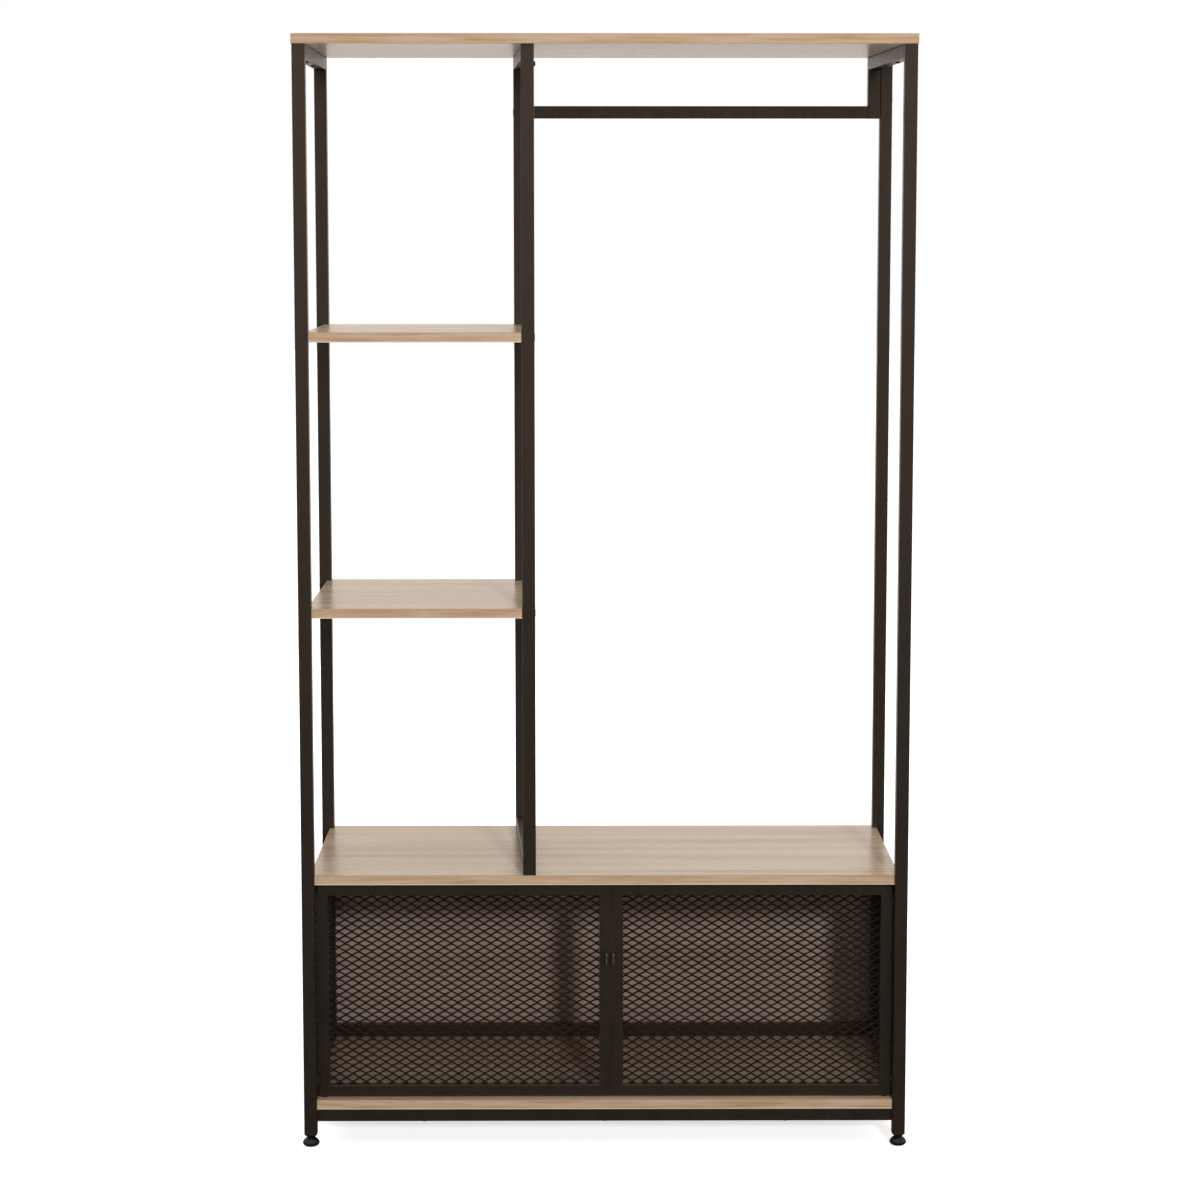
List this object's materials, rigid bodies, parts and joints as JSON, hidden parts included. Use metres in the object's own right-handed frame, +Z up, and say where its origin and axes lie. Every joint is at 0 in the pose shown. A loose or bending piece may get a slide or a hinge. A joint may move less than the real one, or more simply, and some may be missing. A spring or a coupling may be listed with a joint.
{
  "type": "clothes rack",
  "caption": "Open clothes rack of square steel tube and oak-look boards: a hanging bar beside open shelves, above a bench with a low cabinet behind mesh doors.",
  "frame": {"origin": "on the floor, under the middle of the unit", "axes": "+X to the right, +Y to the back, +Z up, seen from the front with the doors"},
  "size_m": [1.005, 0.405, 1.826],
  "materials": {
    "frame_coat": "satin powder coat, black-brown",
    "mesh_coat": "satin powder coat, black-brown",
    "laminated_board": "satin light oak laminate",
    "edge_band": "satin, printed to match the boards",
    "back_board": "matt hardboard with a wood face",
    "foot_plastic": "matt",
    "black_plastic": "matt",
    "insert_brass": "plain",
    "fastener_coat": "satin black",
    "bare_steel": "zinc plated"
  },
  "bodies": {
    "frame": {"back_panel": "back_board", "bench_board": "laminated_board", "board_edging": "edge_band", "board_screws": "fastener_coat", "bottom_board": "laminated_board", "divider_bottom_rail": "frame_coat", "divider_front_post": "frame_coat", "divider_rear_post": "frame_coat", "divider_top_rail": "frame_coat", "drop_leg": "frame_coat", "frame_bolts": "fastener_coat", "front_bottom_rail": "frame_coat", "hanging_bar": "frame_coat", "hole_caps": "black_plastic", "insert_nuts": "insert_brass", "left_bottom_rail": "frame_coat", "left_front_post": "frame_coat", "left_rear_post": "frame_coat", "left_seat_strip": "frame_coat", "left_side_mesh": "mesh_coat", "left_top_rail": "frame_coat", "magnetic_catch": "black_plastic", "middle_shelf": "laminated_board", "panel_screws": "fastener_coat", "pivot_bushes": "black_plastic", "post_plugs": "black_plastic", "rail_end_plugs": "black_plastic", "rear_bottom_rail": "frame_coat", "rear_seat_rail": "frame_coat", "right_bottom_rail": "frame_coat", "right_front_post": "frame_coat", "right_rear_post": "frame_coat", "right_seat_strip": "frame_coat", "right_side_mesh": "mesh_coat", "right_top_rail": "frame_coat", "top_board": "laminated_board", "top_board_edging": "edge_band", "upper_shelf": "laminated_board"},
    "left_door": {"left_door_bottom_rail": "frame_coat", "left_door_hinge_stile": "frame_coat", "left_door_meeting_stile": "frame_coat", "left_door_mesh": "mesh_coat", "left_door_pivots": "bare_steel", "left_door_pull": "frame_coat", "left_door_strike": "bare_steel", "left_door_top_rail": "frame_coat"},
    "right_door": {"right_door_bottom_rail": "frame_coat", "right_door_hinge_stile": "frame_coat", "right_door_meeting_stile": "frame_coat", "right_door_mesh": "mesh_coat", "right_door_pivots": "bare_steel", "right_door_pull": "frame_coat", "right_door_strike": "bare_steel", "right_door_top_rail": "frame_coat"},
    "left_front_foot_body": {"left_front_foot": "foot_plastic"},
    "left_rear_foot_body": {"left_rear_foot": "foot_plastic"},
    "right_front_foot_body": {"right_front_foot": "foot_plastic"},
    "right_rear_foot_body": {"right_rear_foot": "foot_plastic"}
  },
  "joints": [
    {"name": "left_door_hinge", "type": "hinge", "parent": "frame", "child": "left_door", "pos_m": [-0.467, -0.1715, 0.26], "axis": [0, 0, -1], "range_deg": [0, 95]},
    {"name": "right_door_hinge", "type": "hinge", "parent": "frame", "child": "right_door", "pos_m": [0.467, -0.1715, 0.26], "axis": [0, 0, 1], "range_deg": [0, 95]},
    {"name": "left_front_foot_thread", "type": "hinge", "parent": "frame", "child": "left_front_foot_body", "pos_m": [-0.4885, -0.1885, 0], "axis": [0, 0, 1], "continuous": true},
    {"name": "left_rear_foot_thread", "type": "hinge", "parent": "frame", "child": "left_rear_foot_body", "pos_m": [-0.4885, 0.1885, 0], "axis": [0, 0, 1], "continuous": true},
    {"name": "right_front_foot_thread", "type": "hinge", "parent": "frame", "child": "right_front_foot_body", "pos_m": [0.4885, -0.1885, 0], "axis": [0, 0, 1], "continuous": true},
    {"name": "right_rear_foot_thread", "type": "hinge", "parent": "frame", "child": "right_rear_foot_body", "pos_m": [0.4885, 0.1885, 0], "axis": [0, 0, 1], "continuous": true}
  ]
}
